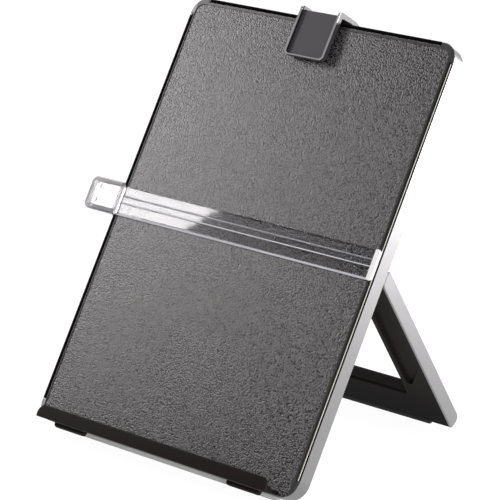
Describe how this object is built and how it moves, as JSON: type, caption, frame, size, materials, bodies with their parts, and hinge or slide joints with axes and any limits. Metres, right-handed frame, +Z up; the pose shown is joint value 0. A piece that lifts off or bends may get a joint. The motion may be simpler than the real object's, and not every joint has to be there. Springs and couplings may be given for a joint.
{
  "type": "copy holder with line guide",
  "caption": "Desk copy holder: a textured board leaning on a fold-out leg frame, with a paper ledge, a clear sliding line guide and a sprung clip on the top rim.",
  "frame": {"origin": "middle of the front foot strip's flat underside, on the table", "axes": "+X to the reader's right, +Y away from the reader, +Z up"},
  "size_m": [0.2555, 0.2082, 0.2832],
  "materials": {
    "textured_black": "pebble-grained, satin",
    "satin_black": "satin",
    "gloss_black": "glossy",
    "clip_black": "semi-gloss",
    "silver": "silver-grey, satin",
    "clear": "clear, polished",
    "steel": "plain",
    "rubber": "matt",
    "pale_rubber": "matt, pale"
  },
  "bodies": {
    "board": {"back_cover": "satin_black", "base_foot": "pale_rubber", "front_panel": "textured_black", "ledge": "gloss_black", "ledge_lug_left": "gloss_black", "ledge_lug_right": "gloss_black", "leg_bracket_left": "satin_black", "leg_bracket_right": "satin_black", "leg_pin_left": "steel", "leg_pin_right": "steel", "leg_washer_left": "steel", "leg_washer_right": "steel", "rib_frame": "satin_black", "side_band": "silver", "side_rim_left": "gloss_black", "side_rim_right": "gloss_black", "top_rim": "gloss_black"},
    "leg": {"leg_foot": "pale_rubber", "leg_frame": "satin_black", "leg_trim_left": "silver", "leg_trim_right": "silver"},
    "guide": {"guide_bar": "clear", "guide_foot_left": "clear", "guide_foot_right": "clear", "guide_grip": "clear", "guide_jaw_left": "clear", "guide_jaw_right": "clear", "guide_skirt": "clear"},
    "clip_carriage": {"clip_pin": "steel", "clip_saddle": "satin_black", "clip_spring": "steel"},
    "clip": {"clip_grip": "rubber", "clip_lever": "clip_black"}
  },
  "joints": [
    {"name": "leg_fold", "type": "hinge", "parent": "board", "child": "leg", "pos_m": [0, 0.09195, 0.12762], "axis": [-1, 0, 0], "range_deg": [0, 66.4]},
    {"name": "guide_slide", "type": "slide", "parent": "board", "child": "guide", "axis": [0, 0.549, 0.8358], "range_m": [-0.138, 0.112]},
    {"name": "clip_slide", "type": "slide", "parent": "board", "child": "clip_carriage", "axis": [1, 0, 0], "range_m": [-0.09, 0.086]},
    {"name": "clip_open", "type": "hinge", "parent": "clip_carriage", "child": "clip", "pos_m": [0, 0.17975, 0.26675], "axis": [-1, 0, 0], "range_deg": [0, 16], "stiffness_Nm_per_rad": 0.1, "springref_deg": -34.38}
  ]
}
